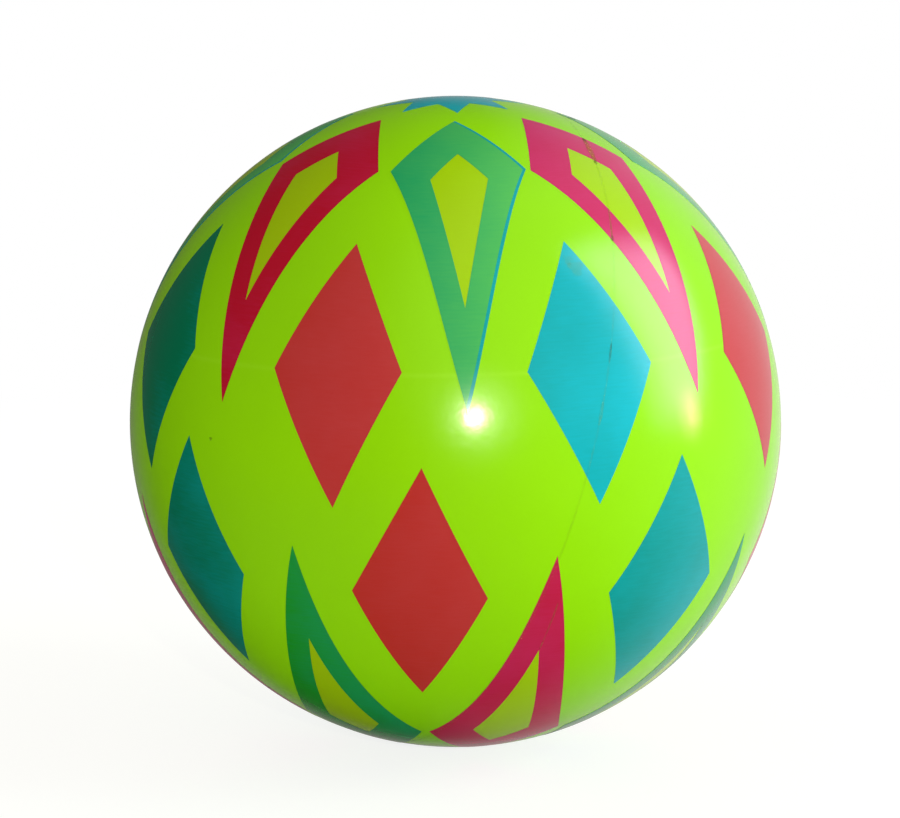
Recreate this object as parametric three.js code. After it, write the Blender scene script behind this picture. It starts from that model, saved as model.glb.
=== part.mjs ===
// Inflated vinyl play ball with a plug valve.
// Sizes are in millimetres and +Z is up. The origin is the centre of the ball and the valve faces +Y.
import * as THREE from "three";

// Ball skin, moulded in one piece
const ballDiameter = 230;
const skinWall = 1.5;

// Valve bush, bonded into a round hole in the skin
const bushDiameter = 12;
const bushLength = 15;
const bushSetBack = 0.4; // its rim lies this far below the edge of the hole
const rimWidth = 1.4; // flat ring round the dish
const dishDepth = 1.9;
const dishDraft = 0.4; // the dish is this much narrower on each side at its floor
const flangeWidth = 5; // how far the flange reaches past the barrel, under the skin
const flangeThickness = 1.8;
const needleBore = 3.2;
const neckWall = 2.9;
const neckChamfer = 1;

// Valve plug, pushed into the bush
const plugHeadThickness = 1.3;
const plugHeadChamfer = 0.35;
const plugShankLength = 10.5;
const plugTipDiameter = 1.8;

// Clearances
const bondGap = 0.3; // adhesive between the bush and the skin
const plugGap = 0.2; // round the shank and under the head
const fingernailGap = 1; // between the plug's head and the wall of the dish

// Facets
const skinSides = 64;
const skinRings = 16; // from a pole to the equator
const valveSides = 32;
const flangeRings = 4;
const tipRings = 4;

const ballRadius = ballDiameter / 2;
const innerRadius = ballRadius - skinWall;
const bushRadius = bushDiameter / 2;
const holeRadius = bushRadius + bondGap;
const boreRadius = needleBore / 2;

// Levels along the valve's axis
const holeEdge = Math.sqrt(ballRadius ** 2 - holeRadius ** 2);
const bushFace = holeEdge - bushSetBack;
const dishFloor = bushFace - dishDepth;
const bushEnd = bushFace - bushLength;
const headSeat = dishFloor + plugGap;

const dishRadius = bushRadius - rimWidth;
const dishFloorRadius = dishRadius - dishDraft;

const point = (radius, level) => new THREE.Vector2(radius, level);

// An arc about the centre of the ball, between two angles from the valve's axis.
function arcAboutCentre(radius, startAngle, endAngle, steps) {
  return Array.from({ length: steps + 1 }, (_, i) => {
    const angle = startAngle + ((endAngle - startAngle) * i) / steps;
    return point(radius * Math.sin(angle), radius * Math.cos(angle));
  });
}

// The angle from the valve's axis at which an arc is the given distance from that axis.
const angleAt = (radius, fromAxis) => Math.asin(fromAxis / radius);

// A wall of the ball from the pole opposite the valve, over a ring on the equator, to the hole.
function wallToHole(radius) {
  const farHalf = arcAboutCentre(radius, Math.PI, Math.PI / 2, skinRings);
  const nearHalf = arcAboutCentre(radius, Math.PI / 2, angleAt(radius, holeRadius), skinRings);
  return [...farHalf, ...nearHalf.slice(1)];
}

// A named solid of revolution about the Y axis, which is the valve's axis.
function turned(name, profile, sides, finish) {
  const mesh = new THREE.Mesh(
    new THREE.LatheGeometry(profile, sides),
    new THREE.MeshStandardMaterial(finish),
  );
  mesh.name = name;
  return mesh;
}

// The skin runs from its far pole up the outside to the hole, and back down the inside.
function ballSkin() {
  const profile = [...wallToHole(ballRadius), ...wallToHole(innerRadius).reverse()];
  return turned("ball_skin", profile, skinSides, {
    color: 0x8fe010,
    roughness: 0.22,
    metalness: 0,
  });
}

// The bush has a flange under the skin, a dish for the plug's head and a bore for an inflation needle.
function valveBush() {
  const flangeRadius = bushRadius + flangeWidth;
  const flangeTop = innerRadius - bondGap;
  const flangeUnder = flangeTop - flangeThickness;
  const neckRadius = boreRadius + neckWall;
  const profile = [
    point(boreRadius, bushEnd),
    point(neckRadius - neckChamfer, bushEnd),
    point(neckRadius, bushEnd + neckChamfer),
    ...arcAboutCentre(
      flangeUnder,
      angleAt(flangeUnder, neckRadius),
      angleAt(flangeUnder, flangeRadius),
      flangeRings,
    ),
    ...arcAboutCentre(
      flangeTop,
      angleAt(flangeTop, flangeRadius),
      angleAt(flangeTop, bushRadius),
      flangeRings,
    ),
    point(bushRadius, bushFace),
    point(dishRadius, bushFace),
    point(dishFloorRadius, dishFloor),
    point(boreRadius, dishFloor),
    point(boreRadius, bushEnd),
  ];
  return turned("valve_bush", profile, valveSides, {
    color: 0xb9d98a,
    roughness: 0.45,
    metalness: 0,
  });
}

// The plug has a flat head to lift with a fingernail, and a tapered shank with a round tip.
function valvePlug() {
  const headRadius = dishFloorRadius - fingernailGap;
  const headTop = headSeat + plugHeadThickness;
  const shankRadius = boreRadius - plugGap;
  const tipRadius = plugTipDiameter / 2;
  const tipCentre = headSeat - plugShankLength + tipRadius;
  const tip = Array.from({ length: tipRings + 1 }, (_, i) => {
    const angle = ((Math.PI / 2) * i) / tipRings;
    return point(tipRadius * Math.sin(angle), tipCentre - tipRadius * Math.cos(angle));
  });
  const profile = [
    ...tip,
    point(shankRadius, headSeat),
    point(headRadius - plugHeadChamfer, headSeat),
    point(headRadius, headSeat + plugHeadChamfer),
    point(headRadius, headTop - plugHeadChamfer),
    point(headRadius - plugHeadChamfer, headTop),
    point(0, headTop),
  ];
  return turned("valve_plug", profile, valveSides, {
    color: 0xf2f3ee,
    roughness: 0.38,
    metalness: 0,
  });
}

const playBall = new THREE.Group();
playBall.add(ballSkin(), valveBush(), valvePlug());

export default playBall;
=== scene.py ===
import bmesh
import bpy
import numpy as np
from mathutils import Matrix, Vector


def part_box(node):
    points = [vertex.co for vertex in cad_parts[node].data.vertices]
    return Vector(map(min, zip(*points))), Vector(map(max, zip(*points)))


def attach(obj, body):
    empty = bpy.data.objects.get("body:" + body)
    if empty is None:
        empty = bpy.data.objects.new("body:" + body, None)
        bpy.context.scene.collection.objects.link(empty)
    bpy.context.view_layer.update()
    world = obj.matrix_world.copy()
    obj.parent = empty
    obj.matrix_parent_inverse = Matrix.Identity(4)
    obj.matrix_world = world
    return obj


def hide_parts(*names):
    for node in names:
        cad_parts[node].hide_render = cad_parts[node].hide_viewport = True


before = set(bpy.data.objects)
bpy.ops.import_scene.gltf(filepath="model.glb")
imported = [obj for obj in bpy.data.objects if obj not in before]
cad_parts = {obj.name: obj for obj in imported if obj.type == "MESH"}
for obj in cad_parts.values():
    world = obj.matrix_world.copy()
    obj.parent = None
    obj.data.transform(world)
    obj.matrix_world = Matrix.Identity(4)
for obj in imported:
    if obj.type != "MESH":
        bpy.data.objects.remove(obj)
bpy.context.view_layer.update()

mm = 0.001
seamGap = 1e-7  # metres; points closer than this are one
skinLow, skinHigh = (np.array(corner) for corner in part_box("ball_skin"))
ballRadius = float(skinHigh[2] - skinLow[2]) / 2
print("frame loaded, ball radius", round(ballRadius, 4))

# where the photograph was taken from, pixels in its 900 by 818 frame
photo = {
    "width": 900,
    "height": 818,
    "centre": (455.4, 421.5),  # middle of the ball
    "radius": 325.6,
    "distance": 1.13,  # metres from the middle of the ball
    "azimuth": -10.0,  # degrees, so that the valve at the back falls on bare skin
    "elevation": 11.25,
    "sensor": 36,  # mm
    "nearest": 0.01,  # metres from the camera at which it starts to see
}


# direction from the ball's middle: azimuth turns to the right from the front, elevation lifts it
def towards(azimuth, elevation):
    a, e = np.radians(azimuth), np.radians(elevation)
    return np.array([np.sin(a) * np.cos(e), -np.cos(a) * np.cos(e), np.sin(e)])


# vectors divided by their lengths
def unit(vectors):
    return vectors / np.linalg.norm(vectors, axis=-1, keepdims=True)


# meshes

# puts points and faces into a new mesh, closes its seams and turns its faces outwards
def meshPiece(name, points, faces, normals=None, places=None, thinness=None):
    mesh = bpy.data.meshes.new(name)
    mesh.from_pydata(points, [], faces)
    if places is not None:
        uv = mesh.uv_layers.new(name="print")
        corner = np.empty(len(mesh.loops), dtype=np.int32)
        mesh.loops.foreach_get("vertex_index", corner)
        uv.uv.foreach_set("vector", places[corner].astype(np.float32).ravel())
    work = bmesh.new()
    work.from_mesh(mesh)
    if normals is None:
        bmesh.ops.remove_doubles(work, verts=work.verts, dist=seamGap)
    bmesh.ops.recalc_face_normals(work, faces=work.faces)
    work.to_mesh(mesh)
    work.free()
    mesh.shade_smooth()
    if normals is not None:
        mesh.normals_split_custom_set_from_vertices(normals)
    if thinness is not None:
        layer = mesh.attributes.new("tone", "FLOAT", "POINT")
        layer.data.foreach_set("value", thinness.astype(np.float32))
    piece = bpy.data.objects.new(name, mesh)
    bpy.context.scene.collection.objects.link(piece)
    return piece


# gives a piece its material and its body, and hides the nodes that it stands for; its slot name is not
# used
def finishPiece(piece, material, body, slotName, *nodes):
    piece.data.materials.append(material)
    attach(piece, body)
    if nodes:
        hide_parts(*nodes)
    return piece


# quads of a grid of point numbers, as rows of four
def gridFaces(index):
    quads = [index[:-1, :-1], index[1:, :-1], index[1:, 1:], index[:-1, 1:]]
    return np.stack(quads, -1).reshape(-1, 4)


# a profile of distance from the axis and place along it, carried once round the Y axis
def revolve(profile, sides):
    turn = np.linspace(0, 2 * np.pi, sides, endpoint=False)[:, None]
    distance, place = profile[:, 0], profile[:, 1] + 0 * turn
    points = np.stack([distance * np.sin(turn), place, distance * np.cos(turn)], -1)
    index = np.arange(sides * len(profile)).reshape(sides, -1)
    return points.reshape(-1, 3), gridFaces(np.vstack([index, index[:1]]))


# an outline of rows, each a corner's distance, its place and its round: the corner is cut back by its
# round and bridged by a parabola towards the corner
def roundedOutline(rows, steps=6):
    rows = np.array(rows, float)
    corner, cut = rows[:, :2], rows[:, 2:]
    before, after = np.roll(corner, 1, axis=0), np.roll(corner, -1, axis=0)
    start = corner + unit(before - corner) * cut
    end = corner + unit(after - corner) * cut
    t = np.linspace(0, 1, steps)[None, :, None]
    bend = start[:, None] * (1 - t) ** 2 + 2 * corner[:, None] * t * (1 - t) + end[:, None] * t ** 2
    return bend.reshape(-1, 2)


# materials

# a socket that takes part in sums: each operator adds one Math node
class Wire:
    def __init__(self, finish, socket):
        self.finish = finish
        self.socket = socket

    def math(self, operation, first, second=0.0, clamp=False):
        settings = {"operation": operation, "use_clamp": clamp}
        return self.finish.node("ShaderNodeMath", settings, {0: first, 1: second})

    def __add__(self, other):
        return self.math("ADD", self, other)

    def __sub__(self, other):
        return self.math("SUBTRACT", self, other)

    def __rsub__(self, other):
        return self.math("SUBTRACT", other, self)

    def __mul__(self, other):
        return self.math("MULTIPLY", self, other)

    def __truediv__(self, other):
        return self.math("DIVIDE", self, other)

    def __abs__(self):
        return self.finish.node("ShaderNodeMath", {"operation": "ABSOLUTE"}, {0: self})

    # kept between nothing and full
    def limit(self):
        return self.math("ADD", self, 0.0, clamp=True)

    __radd__ = __add__
    __rmul__ = __mul__


# one material, or the world, as a tree of nodes
class Finish:
    def __init__(self, owner):
        owner.use_nodes = True
        self.owner = owner
        self.tree = owner.node_tree
        self.tree.nodes.clear()

    # any node: its type, its settings, which are set first, and the values or links of its sockets
    def node(self, kind, settings=None, sockets=None, out=0):
        made = self.tree.nodes.new(kind)
        for name, value in (settings or {}).items():
            setattr(made, name, value)
        for name, value in (sockets or {}).items():
            live = [s for s in made.inputs if s.enabled]
            socket = live[name] if isinstance(name, int) else next(s for s in live if s.name == name)
            if isinstance(value, Wire):
                self.tree.links.new(value.socket, socket)
            elif isinstance(value, tuple) and len(value) == 3 and socket.type == "RGBA":
                socket.default_value = (*value, 1)
            else:
                socket.default_value = value
        outputs = [s for s in made.outputs if s.enabled]
        return Wire(self, outputs[out]) if outputs else made

    def mix(self, factor, a, b):
        settings = {"data_type": "RGBA", "clamp_factor": True}
        return self.node("ShaderNodeMix", settings, {"Factor": factor, "A": a, "B": b})

    # soft noise about nothing: repeats per metre, detail, how rough the detail is, and strength
    def noise(self, where, perMetre, detail, rough, strength):
        sockets = {"Vector": where, "Scale": perMetre, "Detail": detail, "Roughness": rough}
        return (self.node("ShaderNodeTexNoise", None, sockets) - 0.5) * strength

    def bump(self, height, depth, strength):
        sockets = {"Strength": strength, "Distance": depth, "Height": height}
        return self.node("ShaderNodeBump", None, sockets)

    # place on the piece, in metres
    def place(self):
        return self.node("ShaderNodeTexCoord", out=3)

    # place on the print, in metres along and up
    def printPlace(self):
        return self.node("ShaderNodeUVMap", {"uv_map": "print"})

    # how far a place or direction lies along a fixed direction
    def along(self, where, way):
        settings = {"operation": "DOT_PRODUCT"}
        return self.node("ShaderNodeVectorMath", settings, {0: where, 1: tuple(way)})

    # full for one kind of ray and nothing for the others
    def ray(self, kind):
        kinds = {"camera": 0, "gloss": 3, "glass": 6}
        return self.node("ShaderNodeLightPath", out=kinds[kind])

    def choose(self, factor, otherwise, chosen):
        return self.node("ShaderNodeMixShader", None, {0: factor, 1: otherwise, 2: chosen})

    def surface(self, sockets):
        shader = self.node("ShaderNodeBsdfPrincipled", None, sockets)
        self.node("ShaderNodeOutputMaterial", None, {"Surface": shader})
        return self.owner


def newFinish(name):
    return Finish(bpy.data.materials.new(name))


vinyl = {
    "lime": (0.342, 0.828, 0.0002),
    "deepLime": (0.302, 0.750, 0.0002),  # thicker stretches of the wall
    "deepShare": 0.45,
    "paleLime": (0.440, 0.900, 0.0300),  # the ring that the print mask left
    "ringLatitude": 18.6,  # degrees
    "ringHalfWidth": 1.1 * mm,
    "ringShare": 0.30,
    "roughness": 0.18,
    "scuffLevel": 0.75,
    "scuffRoughness": 0.08,
    "peelDepth": 0.08 * mm,
    "bump": 0.35,
    "ior": 1.50,
    # noises: repeats per metre, detail, how rough the detail is, and strength
    "drift": (11, 3, 0.5, 1.6),
    "grain": (1400, 2, 0.5, 0.30),
    "ringBreaks": (25, 2, 0.5, 1.2),
    "scuff": (60, 6, 0.7, 5),
    "dullness": (300, 3, 0.5, 0.04),
    "peel": (320, 2, 0.5, 1),
    "finePeel": (2600, 2, 0.5, 0.08),
}


# lime vinyl: slow drift of wall thickness in the colour, a faint pale ring where the print mask lay,
# orange peel, and scuffs in the gloss
def limeVinyl():
    f = newFinish("limeVinyl")
    where = f.place()

    def noise(name):
        return f.noise(where, *vinyl[name])

    deep = (noise("drift") + vinyl["deepShare"] + noise("grain")).limit()
    level = f.along(where, onPrint(0, 90, layout["halves"]["upper"]["lean"]))
    ringLevel = ballRadius * np.sin(np.radians(vinyl["ringLatitude"]))
    ring = (1 - abs(level - float(ringLevel)) / vinyl["ringHalfWidth"]).limit()
    ring = ring * (noise("ringBreaks") + vinyl["ringShare"]).limit()
    colour = f.mix(deep, vinyl["lime"], vinyl["deepLime"])
    scuff = (noise("scuff") - vinyl["scuffLevel"]).limit()
    return f.surface({
        "Base Color": f.mix(ring, colour, vinyl["paleLime"]),
        "Roughness": scuff * vinyl["scuffRoughness"] + noise("dullness") + vinyl["roughness"],
        "Normal": f.bump(noise("peel") + noise("finePeel"), vinyl["peelDepth"], vinyl["bump"]),
        "IOR": vinyl["ior"],
    })


# each ink where it went on thick and where it went on thin; the thick colour also stands for painted
# shade on the motifs to the left, and the thin one for painted light on those to the right
inks = {
    "red": {"thickAndShaded": (0.565, 0.030, 0.028), "thinAndLit": (0.620, 0.070, 0.100)},
    "turquoise": {"thickAndShaded": (0.000, 0.200, 0.110), "thinAndLit": (0.002, 0.490, 0.680)},
    "magenta": {"thickAndShaded": (0.545, 0.005, 0.034), "thinAndLit": (0.690, 0.036, 0.225)},
    "green": {"thickAndShaded": (0.005, 0.375, 0.165), "thinAndLit": (0.100, 0.560, 0.120)},
    "leafGreen": {"thickAndShaded": (0.012, 0.340, 0.026), "thinAndLit": (0.012, 0.360, 0.280), "slot": "ink_green"},
    "yellow": {"thickAndShaded": (0.400, 0.620, 0.001), "thinAndLit": (0.420, 0.740, 0.001)},
}
inkLook = {
    "roughness": 0.18,
    "reliefDepth": 0.010 * mm,
    "bump": 0.35,
    "ior": 1.50,
    "stroke": (140, 1300, 1),  # streaks per metre along and across the squeegee's stroke
    "streakThin": 0.25,  # how much a streak thins the ink
    "streakRoughness": 0.05,
    # noises, as on the vinyl; a streak's repeats are the stroke's
    "streak": (1, 2, 0.5, 1),
    "patches": (35, 3, 0.5, 0.55),
    "dullness": (300, 3, 0.5, 0.04),
    "peel": (320, 2, 0.5, 3),
}


# screen ink: wiped in fine level streaks, with slow patches where more went on, thinner and paler where
# the film's tone is higher; the tone also carries painted shade, darker on each motif's left side and
# on the motifs to the left
def screenInk(name):
    f = newFinish(name + "Ink")
    where = f.place()
    stroke = f.node("ShaderNodeMapping", None, {"Vector": f.printPlace(), "Scale": inkLook["stroke"]})
    streak = f.noise(stroke, *inkLook["streak"])
    tone = f.node("ShaderNodeAttribute", {"attribute_name": "tone"}, out=2)
    # the mix between the two ink colours holds painted shade from the tone as well as real streaks and
    # patches
    thinAndLit = (streak * inkLook["streakThin"] + f.noise(where, *inkLook["patches"]) + tone).limit()
    dullness = streak * inkLook["streakRoughness"] + f.noise(where, *inkLook["dullness"])
    relief = streak + f.noise(where, *inkLook["peel"])
    return f.surface({
        "Base Color": f.mix(thinAndLit, inks[name]["thickAndShaded"], inks[name]["thinAndLit"]),
        "Roughness": dullness + inkLook["roughness"],
        "Normal": f.bump(relief, inkLook["reliefDepth"], inkLook["bump"]),
        "IOR": inkLook["ior"],
    })


plastic = {
    "cloudShare": 0.4,
    "cloudRoughness": 0.06,
    "grainRoughness": 0.1,
    "bump": 0.4,
    "ior": 1.5,
    # noises, as on the vinyl
    "cloud": (260, 3, 0.5, 1.8),
    "grain": (3800, 2, 0.5, 1),
}


# a soft moulded plastic in a piece's own colours: a slow cloud and a fine grain
def mouldedPlastic(name, piece):
    f = newFinish(name)
    where = f.place()
    cloud = (f.noise(where, *plastic["cloud"]) + plastic["cloudShare"]).limit()
    grain = f.noise(where, *plastic["grain"])
    dullness = grain * plastic["grainRoughness"] + cloud * plastic["cloudRoughness"]
    return f.surface({
        "Base Color": f.mix(cloud, piece["colour"], piece["cloudColour"]),
        "Roughness": dullness + piece["roughness"],
        "Normal": f.bump(grain, piece["grainDepth"], plastic["bump"]),
        "IOR": plastic["ior"],
    })


# skin

skin = {
    "wall": 1.5 * mm,
    "hole": 6.3 * mm,  # radius of the valve's hole
    "lip": 0.7 * mm,  # round of the hole's edge
    "lipSteps": 8,
    "flangeShows": 0.14 * mm,  # the flange under the skin lifts it this much
    "flangeReach": (10.2 * mm, 13.0 * mm),
    "sides": 288,
    "outerRings": 190,
    "innerRings": 72,
}


# the wall runs from the far pole up a sphere, lifts a little over the flange, rounds the hole's lip,
# goes through the hole and back down a smaller sphere
def makeSkin():
    inner = ballRadius - skin["wall"]
    near, far = skin["flangeReach"]
    angle = np.linspace(np.pi, np.arcsin((skin["hole"] + skin["lip"]) / ballRadius), skin["outerRings"])
    fromAxis = ballRadius * np.sin(angle)
    rise = np.clip((far - fromAxis) / (far - near), 0, 1) * (angle < np.pi / 2)
    reach = ballRadius + skin["flangeShows"] * rise ** 2 * (3 - 2 * rise)
    outside = np.stack([reach * np.sin(angle), reach * np.cos(angle)], -1)
    edge = np.array([skin["hole"], outside[-1, 1]])
    t = np.linspace(0, 1, skin["lipSteps"])[1:, None]
    throat = edge - [0, skin["lip"]]
    lip = outside[-1] * (1 - t) ** 2 + 2 * edge * t * (1 - t) + throat * t ** 2
    angle = np.linspace(np.arcsin(skin["hole"] / inner), np.pi, skin["innerRings"])
    inside = inner * np.stack([np.sin(angle), np.cos(angle)], -1)
    points, faces = revolve(np.vstack([outside, lip, inside]), skin["sides"])
    piece = meshPiece("vinylSkin", points, faces)
    return finishPiece(piece, limeVinyl(), "ball", "skin_vinyl", "ball_skin")


# print

# eight motifs in each ring, degrees of longitude from the photographed front and of latitude
layout = {
    "count": 8,
    "halves": {"upper": {"sign": 1, "lean": -0.91}, "lower": {"sign": -1, "lean": 2.66}},
    "kite": {"top": 72.8, "corner": (20.9, 56.5), "tip": 12.0, "middle": 51, "hollow": 0.12},
    "opening": {"top": 61.4, "corner": (8.3, 54.6), "tip": 29.2, "middle": 51},
    "lozenge": {"top": 40.75, "corner": (11.75, 18.55), "tip": -3.5, "middle": 18.5},
    "star": {"tip": 77.1, "notch": 82.8, "at": 5.5, "tone": 0.85},
    "cells": 40,  # along a motif's side
    "rayCells": 10,
    "pointsAcross": 13,  # from the outer edge of a kite's frame to its inner one
}

# a ring of motifs: where the first one stands and its inks in turn; for single motifs, how far they
# stand off to the right and upwards and are turned to the left, how large they are, and how much
# paler or darker they are, partly uneven ink and partly painted shade that darkens the motifs on the
# left and lightens those on the right; for kites, how far to the left the yellow pass fell on the green
# ones, and where the opening's tip is
rings = [
    {
        "motif": "kite", "half": "upper", "at": 2.2, "inks": ("green", "magenta"),
        "off": {
            -2: (-0.5, 0.4, 0), -1: (-0.4, 0.15, 0.9), 0: (0.2, 0.4, -0.2),
            1: (-1.7, 0, 0), 2: (-1, -1.5, 0),
        },
        "size": {},
        "tone": {-1: -0.5, 1: 0.15},
        "slip": 0.58,
        "openingTip": layout["opening"]["tip"],
    },
    {
        "motif": "lozenge", "half": "upper", "at": 24.3, "inks": ("turquoise", "red"),
        "off": {-2: (1.3, 1.2, 1.1), -1: (0.2, 0.35, 0.75), 0: (0, 0, -0.95), 1: (-2.3, -0.95, 0.15)},
        "size": {},
        "tone": {-2: -0.58, -1: -0.2, 0: 0.31, 1: 0.35},
    },
    {
        "motif": "lozenge", "half": "lower", "at": -5.3, "inks": ("red", "turquoise"),
        "off": {-1: (-0.5, -0.65, -0.65), 0: (0, 0, 0.75), 1: (0.9, 0.7, 1.15)},
        "size": {1: 1.035},
        "tone": {-1: -0.37, 0: -0.4, 1: 0.0},
    },
    {
        "motif": "kite", "half": "lower", "at": 17.4, "inks": ("magenta", "leafGreen"),
        "off": {-1: (0.25, 0.1, 0.35), 0: (-0.05, 0.5, -0.3)},
        "size": {0: 1.02},
        "tone": {-1: -0.4, 0: -0.22},
        "slip": 0.0,
        "openingTip": 30.2,
    },
]

# how thin the ink is, from 0 to 1, and how much paler it gets from a motif's left corner to its right,
# a painted shade that darkens each motif's left side
tones = {"plain": 0.55, "kiteShadeRise": 0.7, "lozengeShadeRise": 0.3, "fringe": 0.05}

# how far each ink or mark stands above the skin, later ones over earlier ones
lift = {
    "fill": 0.03 * mm, "ink": 0.05 * mm, "over": 0.08 * mm,
    "line": 0.10 * mm, "worn": 0.12 * mm, "smudge": 0.12 * mm, "dirt": 0.14 * mm,
}
filmDepth = 0.05 * mm  # how far a film's underside lies in the skin


# direction of a place on the print: longitude right of the photographed front, latitude up,
# on a half whose axis leans to the right
def onPrint(lon, lat, lean):
    lon, lat, lean = np.radians(lon), np.radians(lat), np.radians(lean)
    x, y, z = np.cos(lat) * np.sin(lon), -np.cos(lat) * np.cos(lon), np.sin(lat)
    x, z = x * np.cos(lean) + z * np.sin(lean), z * np.cos(lean) - x * np.sin(lean)
    turn = np.radians(photo["azimuth"])
    return np.stack([x * np.cos(turn) - y * np.sin(turn), x * np.sin(turn) + y * np.cos(turn), z], -1)


# turns directions about an axis: what lies along the axis stays and the rest swings round
def swing(directions, axis, degrees):
    angle = np.radians(degrees)
    along = np.outer(directions @ axis, axis)
    return along + (directions - along) * np.cos(angle) + np.cross(axis, directions) * np.sin(angle)


# four corners of a kite or lozenge: top, right, tip, left, with the lower half turned round
def corners(shape, place, half, slip=0):
    sign, lean = half["sign"], half["lean"]
    right, up, turn, size = place
    wide, level = shape["corner"]
    lon = np.array([0, wide, 0, -wide]) * size
    lat = np.array([shape["top"], level, shape["tip"], level])
    lat = shape["middle"] + (lat - shape["middle"]) * size
    four = onPrint(right + sign * lon - slip / np.cos(np.radians(lat)), up + sign * lat, lean)
    return swing(four, onPrint(right, up + sign * shape["middle"], lean), turn)


# where the great circle through one pair of directions crosses that through another pair
def crossing(firstPair, secondPair, near):
    meet = unit(np.cross(np.cross(*firstPair), np.cross(*secondPair)))
    return meet * np.sign(meet @ near)


# what two kites share, when the second one lies a little to the left of the first: on the upper half
# the left corner is the first kite's and the right one the second's, and the other two are crossings
def sharedKite(first, second, sign):
    left, right = (3, 1) if sign > 0 else (1, 3)
    four = first.copy()
    four[right] = second[right]
    for end in (0, 2):
        four[end] = crossing((first[left], first[end]), (second[right], second[end]), first[end])
    return four


# a patch mixes its four corners straight across both ways and is pushed out to the ball,
# so its edges are great circles
def patch(four, cells):
    s, t = np.meshgrid(np.linspace(0, 1, cells + 1), np.linspace(0, 1, cells + 1), indexing="ij")
    shares = np.stack([(1 - s) * (1 - t), s * (1 - t), s * t, (1 - s) * t], -1)
    return {"grid": unit(shares @ four), "closed": False}


# the same sheet with a tone of its own, which may rise along a direction
def toned(sheet, tone, along=None, rise=0.0):
    grid = sheet["grid"]
    share = np.zeros(grid.shape[:2])
    if along is not None:
        reach = grid @ along
        share = (reach - reach.mean()) / np.ptp(reach)
    return {**sheet, "tone": tone + rise * share}


# a frame goes along two outlines, straight between neighbouring corners, and mixes across from the
# outer one to the inner one before it is pushed out to the ball; the two long sides of the outer one
# are drawn in to the middle line, most halfway along them
def outlineFrame(outer, inner):
    cells = layout["cells"]
    along = np.arange(4 * cells) / cells
    side = along.astype(int)
    part = (along - side)[:, None]
    across = np.linspace(0, 1, layout["pointsAcross"])[None, :, None]
    outerEdge, innerEdge = (c[side] * (1 - part) + c[(side + 1) % 4] * part for c in (outer, inner))
    mirrored = outerEdge[-np.arange(4 * cells)]
    longSide = ((side == 1) | (side == 2))[:, None]
    pull = longSide * layout["kite"]["hollow"] * 4 * part * (1 - part) / 2
    outerEdge = outerEdge * (1 - pull) + mirrored * pull
    edges = [unit(edge)[:, None] for edge in (outerEdge, innerEdge)]
    return {"grid": unit(edges[0] * (1 - across) + edges[1] * across), "closed": True}


# a film is a sheet of directions pushed out to just above the skin, the same sheet pushed out to
# just below it, and a rim between the two
def filmMesh(sheets, height):
    points, faces, normals, places, thinness, count = [], [], [], [], [], 0
    for sheet in sheets:
        grid = sheet["grid"]
        rows, columns = grid.shape[:2]
        flat = grid.reshape(-1, 3)
        index = np.arange(rows * columns).reshape(rows, columns)
        if sheet["closed"]:
            index = np.vstack([index, index[:1]])
            loops = [index[:, 0], index[::-1, -1]]
        else:
            loops = [np.concatenate([index[:-1, 0], index[-1, :-1], index[:0:-1, -1], index[0, ::-1]])]
        under = len(flat)
        rims = [
            np.stack([loop[1:], loop[:-1], loop[:-1] + under, loop[1:] + under], -1)
            for loop in loops
        ]
        faces.append(np.vstack([gridFaces(index), gridFaces(index)[:, ::-1] + under, *rims]) + count)
        points += [flat * (ballRadius + height), flat * (ballRadius - filmDepth)]
        normals += [flat, -flat]
        level = ballRadius * np.arcsin(flat[:, 2])
        around = ballRadius * np.arctan2(flat[:, 0], -flat[:, 1]) * np.cos(np.arcsin(flat[:, 2]))
        places += [np.stack([around, level], -1)] * 2
        thinness += [np.broadcast_to(sheet.get("tone", tones["plain"]), grid.shape[:2]).ravel()] * 2
        count += 2 * under
    return [np.vstack(part) for part in (points, faces, normals, places)] + [np.concatenate(thinness)]


# one piece of all the sheets of a film, on the ball
def makeFilm(name, sheets, height, material, slotName):
    piece = meshPiece(name, *filmMesh(sheets, height))
    return finishPiece(piece, material, "ball", slotName)


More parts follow.
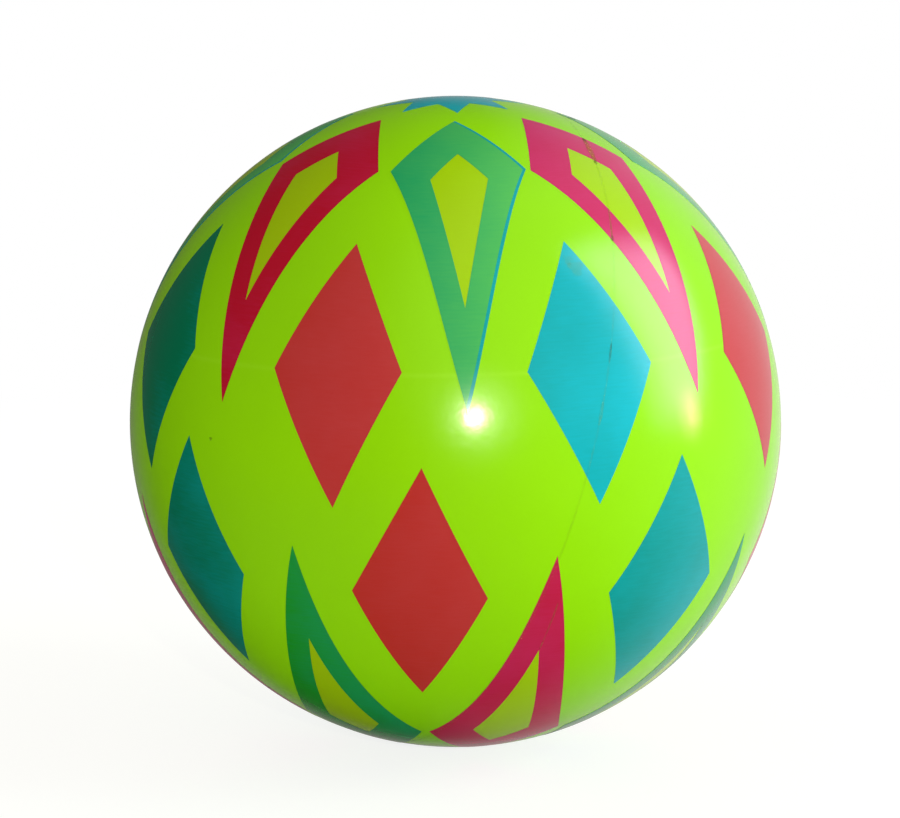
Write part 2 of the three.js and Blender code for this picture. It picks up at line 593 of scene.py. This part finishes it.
# motifs stand evenly round each ring, apart from what the ring says of single ones, and the rays of a
# star round each pole; the sheets of one ink and kind make one film
def makePrint():
    cells = layout["cells"]
    count = layout["count"]
    films = {}

    def add(kind, ink, level, sheet):
        films.setdefault((ink + kind, ink, level), []).append(sheet)

    for ring in rings:
        half = layout["halves"][ring["half"]]
        for k in range(1 - count // 2, 1 + count // 2):
            ink = ring["inks"][k % 2]
            right, up, turn = ring["off"].get(k, (0, 0, 0))
            # this motif's tone is partly painted shade: motifs on the left darker, those on the right
            # paler
            tone = tones["plain"] + ring["tone"].get(k, 0)
            place = (ring["at"] + k * 360 / count + right, up, turn, ring["size"].get(k, 1.0))
            four = corners(layout[ring["motif"]], place, half)
            # from a motif's left corner to its right, along which the painted shade lightens it
            rightwards = (four[1] - four[3]) * half["sign"]
            if ring["motif"] == "lozenge":
                sheet = toned(patch(four, cells), tone, rightwards, tones["lozengeShadeRise"])
                add("Lozenges", ink, "ink", sheet)
                continue
            opening = corners({**layout["opening"], "tip": ring["openingTip"]}, place, half)
            outline = outlineFrame(four, opening)
            add("KiteFills", "yellow", "fill", toned(patch(opening, cells), tone))
            if ink == "magenta":
                add("Kites", ink, "ink", toned(outline, tone))
                continue
            if ring["slip"]:
                add("KiteEdges", "turquoise", "ink", toned(outline, tone + tones["fringe"]))
                slipped = corners(layout["kite"], place, half, ring["slip"])
                outline = outlineFrame(sharedKite(four, slipped, half["sign"]), opening)
            add("Kites", ink, "over", toned(outline, tone, rightwards, tones["kiteShadeRise"]))
    star = layout["star"]
    for half in layout["halves"].values():
        for k in range(count):
            lon = star["at"] + (k + np.array([0, 0.5, 0, -0.5]) * half["sign"]) * 360 / count
            lat = np.array([90, star["notch"], star["tip"], star["notch"]]) * half["sign"]
            ray = patch(onPrint(lon, lat, half["lean"]), layout["rayCells"])
            add("Stars", "turquoise", "ink", toned(ray, star["tone"]))
    materials = {name: screenInk(name) for name in inks}
    for (name, ink, level), sheets in films.items():
        makeFilm(name, sheets, lift[level], materials[ink], inks[ink].get("slot", "ink_" + ink))


# valve

bush = {
    "rim": 6.0 * mm,  # radius of the flat ring
    "rimWidth": 1.4 * mm,
    "rimRound": 0.25 * mm,
    "dishDepth": 1.9 * mm,
    "dishDraft": 0.4 * mm,
    "dishRound": 0.35 * mm,
    "bore": 1.6 * mm,
    "boreRound": 0.25 * mm,
    "neck": 4.5 * mm,
    "neckChamfer": 1.0 * mm,
    "neckRound": 0.6 * mm,  # where it meets the flange
    "endRound": 0.3 * mm,
    "flange": 11.0 * mm,
    "flangeThickness": 1.8 * mm,
    "flangeRound": 0.4 * mm,
    "bond": 0.3 * mm,  # between the flange and the skin
    "bondRound": 0.1 * mm,
    "sides": 128,
    "colour": (0.330, 0.560, 0.050),
    "cloudColour": (0.280, 0.500, 0.035),
    "roughness": 0.42,
    "grainDepth": 0.02 * mm,
}


# the bush is one outline with small rounds, turned about the valve's axis; its flange follows the skin
def makeBush():
    low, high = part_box("valve_bush")
    face, end = float(high[1]), float(low[1])
    dishFloor = face - bush["dishDepth"]
    dish = bush["rim"] - bush["rimWidth"]
    bore, neck, flange, rim = (bush[name] for name in ("bore", "neck", "flange", "rim"))
    top = ballRadius - skin["wall"] - bush["bond"]
    under = top - bush["flangeThickness"]

    # level at which a sphere about the ball's middle is this far from the valve's axis
    def onSphere(radius, fromAxis):
        return np.sqrt(radius ** 2 - fromAxis ** 2)

    profile = roundedOutline([
        (bore, end, bush["endRound"]),
        (neck - bush["neckChamfer"], end, bush["endRound"]),
        (neck, end + bush["neckChamfer"], bush["endRound"]),
        (neck, onSphere(under, neck), bush["neckRound"]),
        (flange, onSphere(under, flange), bush["flangeRound"]),
        (flange, onSphere(top, flange), bush["flangeRound"]),
        (rim, onSphere(top, rim), bush["bondRound"]),
        (rim, face, bush["rimRound"]),
        (dish, face, bush["rimRound"]),
        (dish - bush["dishDraft"], dishFloor, bush["dishRound"]),
        (bore, dishFloor, bush["boreRound"]),
    ])
    points, faces = revolve(np.vstack([profile, profile[:1]]), bush["sides"])
    piece = meshPiece("valveBush", points, faces)
    material = mouldedPlastic("softValveVinyl", bush)
    return finishPiece(piece, material, "ball", "valve_vinyl", "valve_bush")


plug = {
    "headThickness": 1.3 * mm,
    "headRound": 0.4 * mm,
    "shank": 1.4 * mm,
    "shankRound": 0.25 * mm,  # where it meets the head
    "tip": 0.9 * mm,
    "tipRound": 0.75 * mm,
    "dimple": (1.1 * mm, 0.88 * mm, 0.35 * mm),  # upper and lower radius, and depth
    "dimpleRounds": (0.2 * mm, 0.15 * mm),
    "sides": 96,
    "colour": (0.800, 0.810, 0.780),
    "cloudColour": (0.740, 0.760, 0.720),
    "roughness": 0.34,
    "grainDepth": 0.01 * mm,
}


# the plug is a head with rounded edges and a moulding dimple, on a tapered shank with a round tip
def makePlug():
    low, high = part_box("valve_plug")
    top, tipEnd, head = float(high[1]), float(low[1]), float(high[0])
    seat = top - plug["headThickness"]
    dimpleRim, dimpleFloor, depth = plug["dimple"]
    profile = roundedOutline([
        (0, tipEnd, 0),
        (plug["tip"], tipEnd, plug["tipRound"]),
        (plug["shank"], seat, plug["shankRound"]),
        (head, seat, plug["headRound"]),
        (head, top, plug["headRound"]),
        (dimpleRim, top, plug["dimpleRounds"][0]),
        (dimpleFloor, top - depth, plug["dimpleRounds"][1]),
        (0, top - depth, 0),
    ])
    points, faces = revolve(profile, plug["sides"])
    piece = meshPiece("valvePlug", points, faces)
    material = mouldedPlastic("whitePlugPlastic", plug)
    return finishPiece(piece, material, "plug", "plug_plastic", "valve_plug")


# marks of making and use

marks = {
    "mouldLine": ((55.1, 61.4), (24.7, 11.8)),  # two places on it, longitude and latitude
    "lineWidth": 0.7 * mm,
    "lineSteps": 720,
    # stretches of the line, from and to as shares of the way between the two places, and width in mm
    "wornLine": ((-0.06, 0.095, 2.1), (0.31, 0.435, 0.5)),
    "smudgedLine": ((0.97, 1.04, 1.3),),
    "dirtyLine": (
        (-0.062, -0.04, 1.5), (0.08, 0.10, 1.2), (0.422, 0.442, 1.1), (0.79, 0.85, 0.8),
    ),
    "stretchSteps": 40,
    "stretchEnds": (0.04, 0.96),  # shares of a half wave that its width follows
    # longitude, latitude, width and height in mm
    "smudges": ((24.9, 36.0, 4.8, 5.2), (23.7, 37.6, 3.2, 3.4)),
    "dirtySpots": ((-44.7, 5.2, 1.1, 1.1), (89.6, 69.4, 4.2, 3.0)),
    "speckSides": 28,
    "speckRings": (0.08, 1, 4),  # from and to as shares of its reach, and how many
    "speckWaves": ((3, 0.22, 1), (5, 0.13, 2)),  # how many round its edge, how far out, and their start
    "hairline": ((18.05, -20.3), (16.1, -29.8)),
    "hairlineWidth": 0.24 * mm,
    # each finish as its two colours and how much it covers
    "line": ((0.100, 0.250, 0.004), (0.200, 0.450, 0.004), 0.11),
    "worn": ((0.450, 0.170, 0.004), (0.420, 0.300, 0.004), 0.48),
    "smudge": ((0.160, 0.450, 0.120), (0.220, 0.520, 0.120), 0.19),
    "dirt": ((0.030, 0.070, 0.015), (0.060, 0.130, 0.030), 0.48),
}
dirtLook = {
    "roughness": 0.34,
    "cloudRoughness": 0.2,
    "cloudShare": 0.5,
    "coverShare": 0.6,
    # noises, as on the vinyl
    "cloud": (900, 3, 0.5, 2),
    "cover": (260, 4, 0.6, 2.2),
}


# dirt lets the surface under it show through, more in some places than in others
def dirt(name, colour, paler, cover):
    f = newFinish(name)
    where = f.place()
    cloud = (f.noise(where, *dirtLook["cloud"]) + dirtLook["cloudShare"]).limit()
    uneven = f.noise(where, *dirtLook["cover"]) + dirtLook["coverShare"]
    return f.surface({
        "Base Color": f.mix(cloud, colour, paler),
        "Roughness": cloud * dirtLook["cloudRoughness"] + dirtLook["roughness"],
        "Alpha": (uneven * cover).limit(),
    })


# a strip runs along a row of directions, half its width to each side of them
def strip(path, width, closed):
    ahead = np.roll(path, -1, axis=0) - np.roll(path, 1, axis=0)
    if not closed:
        ahead[0], ahead[-1] = path[1] - path[0], path[-1] - path[-2]
    side = unit(np.cross(path, ahead))
    across = np.linspace(-0.5, 0.5, 3)[None, :, None]
    aside = side[:, None] * across * width[:, None, None] / ballRadius
    return {"grid": unit(path[:, None] + aside), "closed": closed}


# a speck is a round patch whose edge wanders in and out by the sum of a few waves
def speck(lon, lat, wide, high, seed):
    centre = onPrint(lon, lat, 0)
    right = unit(np.cross(np.array([0, 0, 1.0]), centre))
    up = np.cross(centre, right)
    angle = np.linspace(0, 2 * np.pi, marks["speckSides"], endpoint=False)[:, None]
    waves = (far * np.sin(count * angle + start * seed) for count, far, start in marks["speckWaves"])
    reach = 1 + sum(waves)
    edge = (right * np.cos(angle) * wide + up * np.sin(angle) * high) * reach * mm / 2 / ballRadius
    out = np.linspace(*marks["speckRings"])[None, :, None]
    return {"grid": unit(centre + edge[:, None] * out), "closed": True}


# the mould line is the great circle through two places, t times the angle between them from the first
def makeMarks():
    start, end = (onPrint(*place, 0) for place in marks["mouldLine"])
    span = np.arccos(start @ end)
    sideways = unit(end - start * (start @ end))

    def onLine(t):
        angle = (t * span)[:, None]
        return start * np.cos(angle) + sideways * np.sin(angle)

    steps = marks["stretchSteps"]

    # along the line between two shares of it, pointed at both ends
    def stretch(fromShare, toShare, width):
        taper = np.sqrt(np.sin(np.pi * np.linspace(*marks["stretchEnds"], steps)))
        return strip(onLine(np.linspace(fromShare, toShare, steps)), width * mm * taper, False)

    whole = onLine(np.linspace(0, 2 * np.pi / span, marks["lineSteps"], endpoint=False))
    line = [strip(whole, np.full(len(whole), marks["lineWidth"]), True)]
    share = np.linspace(0, 1, steps)[:, None]
    hairStart, hairEnd = (onPrint(*place, 0) for place in marks["hairline"])
    hair = unit(hairStart * (1 - share) + hairEnd * share)
    worn = [stretch(*part) for part in marks["wornLine"]]
    worn.append(strip(hair, np.full(steps, marks["hairlineWidth"]), False))
    smudges = [stretch(*part) for part in marks["smudgedLine"]]
    smudges += [speck(*spot, seed) for seed, spot in enumerate(marks["smudges"])]
    specks = [stretch(*part) for part in marks["dirtyLine"]]
    specks += [speck(*spot, seed) for seed, spot in enumerate(marks["dirtySpots"])]
    sheets = {"mouldLine": line, "wornInk": worn, "smudges": smudges, "dirtSpecks": specks}
    for name, finish in zip(sheets, ("line", "worn", "smudge", "dirt")):
        makeFilm(name, sheets[name], lift[finish], dirt(name, *marks[finish]), "skin_vinyl")


# stage

# azimuth from the row's front, elevation, distance and size in metres, power in watts
lamps = {
    "window": {
        "azimuth": 70, "elevation": 20, "distance": 2.0, "size": (0.9, 1.3), "power": 28.6,
        "colour": (0.82, 1.0, 0.92), "gloss": False,
    },
    "flash": {
        "azimuth": -3.7, "elevation": 12.7, "distance": 1.12, "size": (0.02, 0.02), "power": 3.87,
        "colour": (1.0, 1.0, 0.70), "gloss": True,
    },
    "backFill": {
        "azimuth": 170, "elevation": 14, "distance": 1.6, "size": (0.9, 0.9), "power": 10.0,
        "colour": (1.0, 0.98, 0.94), "gloss": False,
    },
}


# stands an object out from the ball's middle and turns it to look back there
def aim(obj, azimuth, elevation, distance):
    way = towards(azimuth, elevation)
    obj.location = way * distance
    obj.rotation_euler = Vector(-way).to_track_quat("-Z", "Y").to_euler()
    bpy.context.scene.collection.objects.link(obj)


# a square-edged lamp, aimed at the ball's middle
def makeLamp(name):
    lamp = lamps[name]
    data = bpy.data.lights.new(name, "AREA")
    data.shape = "RECTANGLE"
    data.size, data.size_y = lamp["size"]
    data.energy = lamp["power"]
    data.color = lamp["colour"]
    obj = bpy.data.objects.new(name, data)
    obj.visible_glossy = lamp["gloss"]
    aim(obj, lamp["azimuth"], lamp["elevation"], lamp["distance"])


room = {
    "sky": (0.600, 0.565, 0.450),  # from straight above, fading to nothing straight below
    "dim": 0.004,  # what a gloss shows of the unlit side of the room
    "wall": 0.46,  # and of the lit side, to the right
    "wallColour": (1.10, 1.0, 0.97),
    "wallEdge": 0.4,  # how softly the lit side starts
    "wallFall": (0.6, 0.3),  # and how much further right behind the ball, above and below
    "wallFoot": (1.5, 1.4),  # how steeply and from what level it fades out low in front
    "wallBack": 0.35,  # how much brighter it is at the back
    "backGlow": 0.06,  # more light all round behind the ball
    "groundGlow": 0.40,  # and low behind it, where the floor is bright
    # ramps, each a steepness and a level
    "wallTop": (-0.5, 1.2),
    "behind": (2, -1),
    "farBehind": (3, -2.1),
    "lowDown": (-2, 0),
    # the window in the wall on the right, as tangents from the ball: backwards and upwards; each edge
    # is where it starts, how it slopes and how soft it is
    "window": {
        "left": (-0.24, 0.0, 0.28),
        "right": (0.02, 0.75, 0.12),
        "top": (1.34, -1.07, 0.45),
        "bottom": (0.05, 0.0, 0.16),
    },
    "windowFade": (-0.25, 1.15),  # how it dims upwards, and its level
    "windowStrength": 4.5,
    "windowColour": (1.0, 1.0, 1.25),
    "rightEdge": 20,  # how steeply window and glint end where the right side does
    "leastRight": 0.05,
    "glint": {
        "across": -0.01, "height": 0.045, "half": (0.02, 0.07), "soft": 0.08, "strength": 42.0,
    },
    "glintColour": (1.0, 0.86, 0.40),
    "glow": {"azimuth": -1.0, "elevation": 13.5, "reach": 17, "strength": 3.0},  # round the flash
    "glowColour": (1.0, 1.0, 0.85),
}


# white to the camera; to a gloss a dim room, lit on the right where its window is; and a soft light
# from above for the rest
def makeWorld():
    world = bpy.data.worlds.new("studio")
    world.cycles.sampling_method = "NONE"  # each ray then sees the look that is meant for it
    bpy.context.scene.world = world
    f = Finish(world)
    way = f.node("ShaderNodeTexCoord", out=0)
    right = f.along(way, towards(photo["azimuth"] + 90, 0))
    back = f.along(way, towards(photo["azimuth"] + 180, 0))
    up = f.along(way, (0, 0, 1))
    onRight = (right * room["rightEdge"]).limit()
    ahead = f.node("ShaderNodeMath", {"operation": "MAXIMUM"}, {0: right, 1: room["leastRight"]})
    across, height = back / ahead, up / ahead

    # past an edge by more than half its softness is full, as far short of it is nothing
    def past(distance, soft):
        return (distance / soft + 0.5).limit()

    # a value times its steepness plus a level, kept between nothing and full
    def ramp(value, steep, level):
        return (value * steep + level).limit()

    # the lit side fades out downwards in front and towards the top behind
    def wall():
        above, below = room["wallFall"]
        fall = ramp(up, 1, 0) * above + ramp(up, -1, 0) * below
        steep, level = room["wallFoot"]
        lit = past(right - back * fall, room["wallEdge"])
        lit = lit * (up * steep + back + level).limit() * ramp(up, *room["wallTop"])
        low = ramp(back, *room["farBehind"]) * ramp(up, *room["lowDown"])
        glows = ramp(back, *room["behind"]) * room["backGlow"] + low * room["groundGlow"]
        return lit * (back * room["wallBack"] + 1) * room["wall"] + glows + room["dim"]

    # what lies inside all four edges, dimmer towards the top
    def window():
        inside = onRight
        for edge, place, other, sign in (
            ("left", across, height, 1), ("right", across, height, -1),
            ("top", height, across, -1), ("bottom", height, across, 1),
        ):
            start, slope, soft = room["window"][edge]
            inside = inside * past((place - other * slope - start) * sign, soft)
        steep, level = room["windowFade"]
        return inside * (height * steep + level) * room["windowStrength"]

    # a small upright spot with soft edges
    def glint():
        spot = room["glint"]
        wide = past(spot["half"][0] - abs(across - spot["across"]), spot["soft"])
        high = past(spot["half"][1] - abs(height - spot["height"]), spot["soft"])
        return wide * high * onRight * spot["strength"]

    # a round spot that fades out as the square of how near its middle is
    def glow():
        spot = room["glow"]
        edge = float(np.cos(np.radians(spot["reach"])))
        near = (f.along(way, towards(spot["azimuth"], spot["elevation"])) - edge) / (1 - edge)
        return near.limit() * near.limit() * spot["strength"]

    def shade(colour, strength):
        return f.node("ShaderNodeBackground", None, {"Color": colour, "Strength": strength})

    shown = shade(room["wallColour"], wall())
    for name, strength in (("window", window()), ("glint", glint()), ("glow", glow())):
        lamp = shade(room[name + "Colour"], strength)
        shown = f.node("ShaderNodeAddShader", None, {0: shown, 1: lamp})
    white = shade((1, 1, 1), 1.0)
    look = f.choose(f.ray("gloss"), shade(room["sky"], up * 0.5 + 0.5), shown)
    look = f.choose(f.ray("glass"), f.choose(f.ray("camera"), look, white), white)
    f.node("ShaderNodeOutputWorld", None, {"Surface": look})


floor = {
    "sides": 96,
    "rings": (0.0, 0.2, 0.5, 1.0, 2.0, 8.0),  # metres from the middle
    "plain": (0.70, 0.40),  # what it throws back near the ball and far from it
    "glow": 0.84,  # its own white near the ball, so that a pale shadow shows
    "shadow": 0.22,
    "fade": (0.25, 0.70),  # metres from the ball's middle, where the shadow fades into plain white
}


# a round pale floor: to the camera mostly its own white, with part of its light left to show the shadow
def makeFloor():
    turn = np.linspace(0, 2 * np.pi, floor["sides"], endpoint=False)[:, None]
    out = np.array(floor["rings"])[None]
    level = np.full((turn.size, out.size), -ballRadius)
    points = np.stack([out * np.sin(turn), out * np.cos(turn), level], -1).reshape(-1, 3)
    index = np.arange(level.size).reshape(level.shape)
    obj = meshPiece("floor", points, gridFaces(np.vstack([index, index[:1]])))
    f = newFinish("paleFloor")
    near, far = floor["fade"]
    distance = f.node("ShaderNodeVectorMath", {"operation": "LENGTH"}, {0: f.place()})
    away = ((distance - near) / (far - near)).limit()

    def plain(grey):
        return f.node("ShaderNodeBsdfDiffuse", None, {"Color": (grey,) * 3})

    def glow(strength):
        return f.node("ShaderNodeEmission", None, {"Color": (1, 1, 1), "Strength": strength})

    close = f.node("ShaderNodeAddShader", None, {0: plain(floor["shadow"]), 1: glow(floor["glow"])})
    thrownBack = f.choose(away, *(plain(grey) for grey in floor["plain"]))
    look = f.choose(f.ray("camera"), thrownBack, f.choose(away, close, glow(1.0)))
    f.node("ShaderNodeOutputMaterial", None, {"Surface": look})
    obj.data.materials.append(f.owner)
    obj.visible_glossy = False  # a gloss sees the room instead


# the lens makes the ball's outline as wide as in the photograph, and the shift puts it in its place
def makeCamera():
    data = bpy.data.cameras.new("photoCamera")
    focal = photo["radius"] * np.sqrt((photo["distance"] / ballRadius) ** 2 - 1)  # pixels
    data.sensor_width = photo["sensor"]
    data.lens = data.sensor_width * focal / photo["width"]
    data.shift_x = (photo["width"] / 2 - photo["centre"][0]) / photo["width"]
    data.shift_y = (photo["centre"][1] - photo["height"] / 2) / photo["width"]
    data.clip_start = photo["nearest"]
    obj = bpy.data.objects.new("photoCamera", data)
    aim(obj, photo["azimuth"], photo["elevation"], photo["distance"])
    bpy.context.scene.camera = obj


makeCamera()
makeWorld()
makeFloor()
for lampName in lamps:
    makeLamp(lampName)
print("stage set")
makeSkin()
print("skin made")
makePrint()
print("print made")
makeBush()
makePlug()
print("valve made")
makeMarks()
print("marks made")

bpy.context.scene.view_settings.view_transform = "Standard"
bpy.context.view_layer.update()
